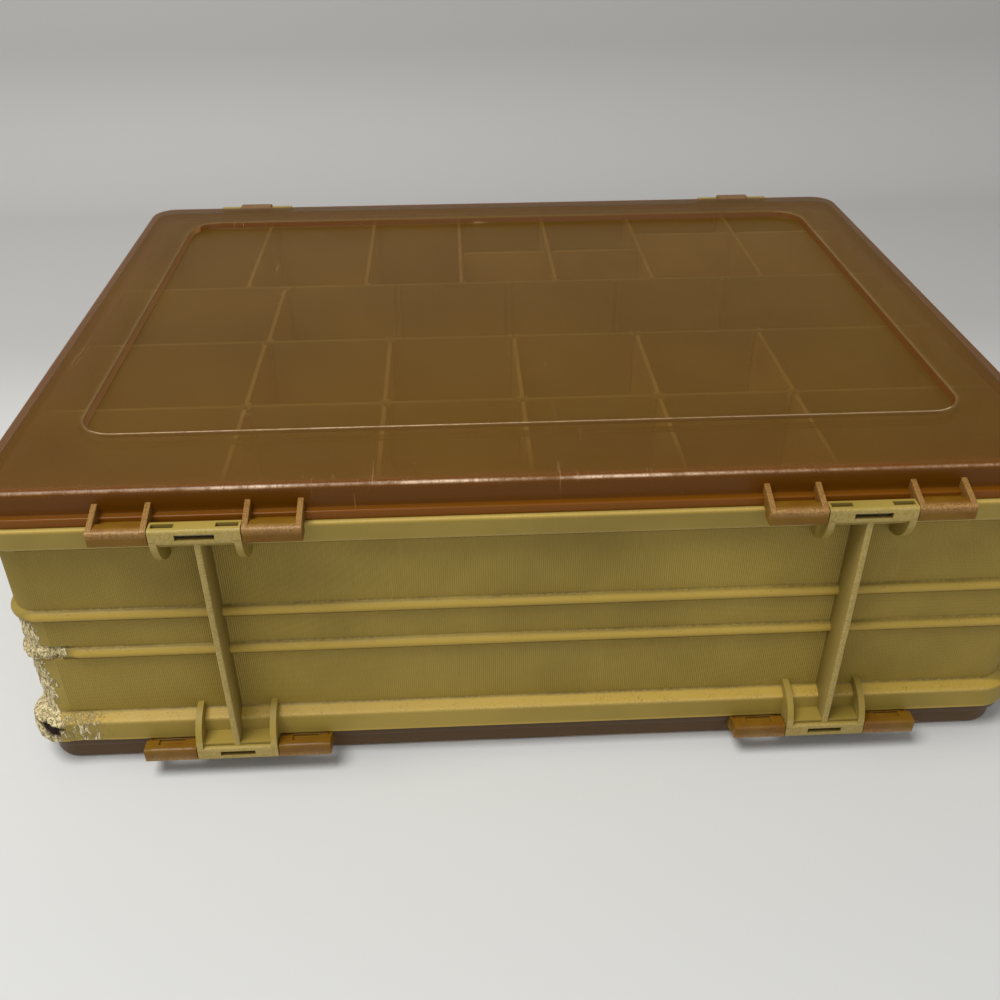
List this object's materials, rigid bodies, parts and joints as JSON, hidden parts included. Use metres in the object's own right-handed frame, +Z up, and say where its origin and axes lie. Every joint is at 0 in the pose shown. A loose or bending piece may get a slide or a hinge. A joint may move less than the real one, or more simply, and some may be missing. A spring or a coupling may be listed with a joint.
{
  "type": "double-sided tackle box",
  "caption": "Flat carrying box with compartment trays on both faces, a clear brown lid hinged over each, snap latches and a folding handle.",
  "frame": {"origin": "centre of the box's footprint, on the face it rests on", "axes": "+Z up out of the upper lid, +X along the hinge side, -Y towards the hinges, +Y towards the handle"},
  "size_m": [0.383, 0.31, 0.123],
  "materials": {
    "tan_plastic": "satin moulded plastic with fine ribbing, scuffed edges",
    "brown_clear": "see-through brown plastic, scratched, whitened edges",
    "divider_plastic": "satin moulded plastic",
    "steel": "drawn steel rod, dulled"
  },
  "bodies": {
    "tub": {"tub": "tan_plastic", "hinge_post_left": "tan_plastic", "hinge_post_right": "tan_plastic", "handle_ears_left": "tan_plastic", "handle_ears_right": "tan_plastic", "divider_a1": "divider_plastic", "divider_a2": "divider_plastic", "divider_a3": "divider_plastic", "divider_a4": "divider_plastic", "divider_a5": "divider_plastic", "divider_b1": "divider_plastic", "divider_b2": "divider_plastic", "divider_b3": "divider_plastic", "divider_b4": "divider_plastic", "divider_b5": "divider_plastic", "divider_c1": "divider_plastic", "divider_d1": "divider_plastic", "divider_d2": "divider_plastic", "divider_d3": "divider_plastic", "divider_d4": "divider_plastic", "divider_d5": "divider_plastic", "divider_d6": "divider_plastic", "short_divider_1": "divider_plastic", "short_divider_2": "divider_plastic", "short_divider_3": "divider_plastic", "short_divider_4": "divider_plastic", "lower_divider_1": "divider_plastic", "lower_divider_2": "divider_plastic", "lower_divider_3": "divider_plastic", "hinge_pin_top_left": "steel", "hinge_pin_top_right": "steel", "hinge_pin_bottom_left": "steel", "hinge_pin_bottom_right": "steel", "handle_pin_left": "steel", "handle_pin_right": "steel"},
    "top_lid": {"top_lid": "brown_clear", "latch_pin_top_left": "steel", "latch_pin_top_right": "steel"},
    "bottom_lid": {"bottom_lid": "brown_clear", "latch_pin_bottom_left": "steel", "latch_pin_bottom_right": "steel"},
    "latch_top_left": {"latch_top_left": "tan_plastic"},
    "latch_top_right": {"latch_top_right": "tan_plastic"},
    "latch_bottom_left": {"latch_bottom_left": "tan_plastic"},
    "latch_bottom_right": {"latch_bottom_right": "tan_plastic"},
    "handle": {"handle": "tan_plastic"}
  },
  "joints": [
    {"name": "top_lid_hinge", "type": "hinge", "parent": "tub", "child": "top_lid", "pos_m": [0, -0.152, 0.1115], "axis": [1, 0, 0], "range_deg": [0, 180]},
    {"name": "bottom_lid_hinge", "type": "hinge", "parent": "tub", "child": "bottom_lid", "pos_m": [0, -0.152, 0.0115], "axis": [-1, 0, 0], "range_deg": [0, 180]},
    {"name": "latch_top_left_pivot", "type": "hinge", "parent": "top_lid", "child": "latch_top_left", "pos_m": [-0.1335, 0.1485, 0.119], "axis": [1, 0, 0], "range_deg": [0, 100]},
    {"name": "latch_top_right_pivot", "type": "hinge", "parent": "top_lid", "child": "latch_top_right", "pos_m": [0.1335, 0.1485, 0.119], "axis": [1, 0, 0], "range_deg": [0, 100]},
    {"name": "latch_bottom_left_pivot", "type": "hinge", "parent": "bottom_lid", "child": "latch_bottom_left", "pos_m": [-0.1335, 0.1485, 0.004], "axis": [-1, 0, 0], "range_deg": [0, 100]},
    {"name": "latch_bottom_right_pivot", "type": "hinge", "parent": "bottom_lid", "child": "latch_bottom_right", "pos_m": [0.1335, 0.1485, 0.004], "axis": [-1, 0, 0], "range_deg": [0, 100]},
    {"name": "handle_fold", "type": "hinge", "parent": "tub", "child": "handle", "pos_m": [0, 0.1495, 0.0615], "axis": [1, 0, 0], "range_deg": [0, 180]}
  ]
}
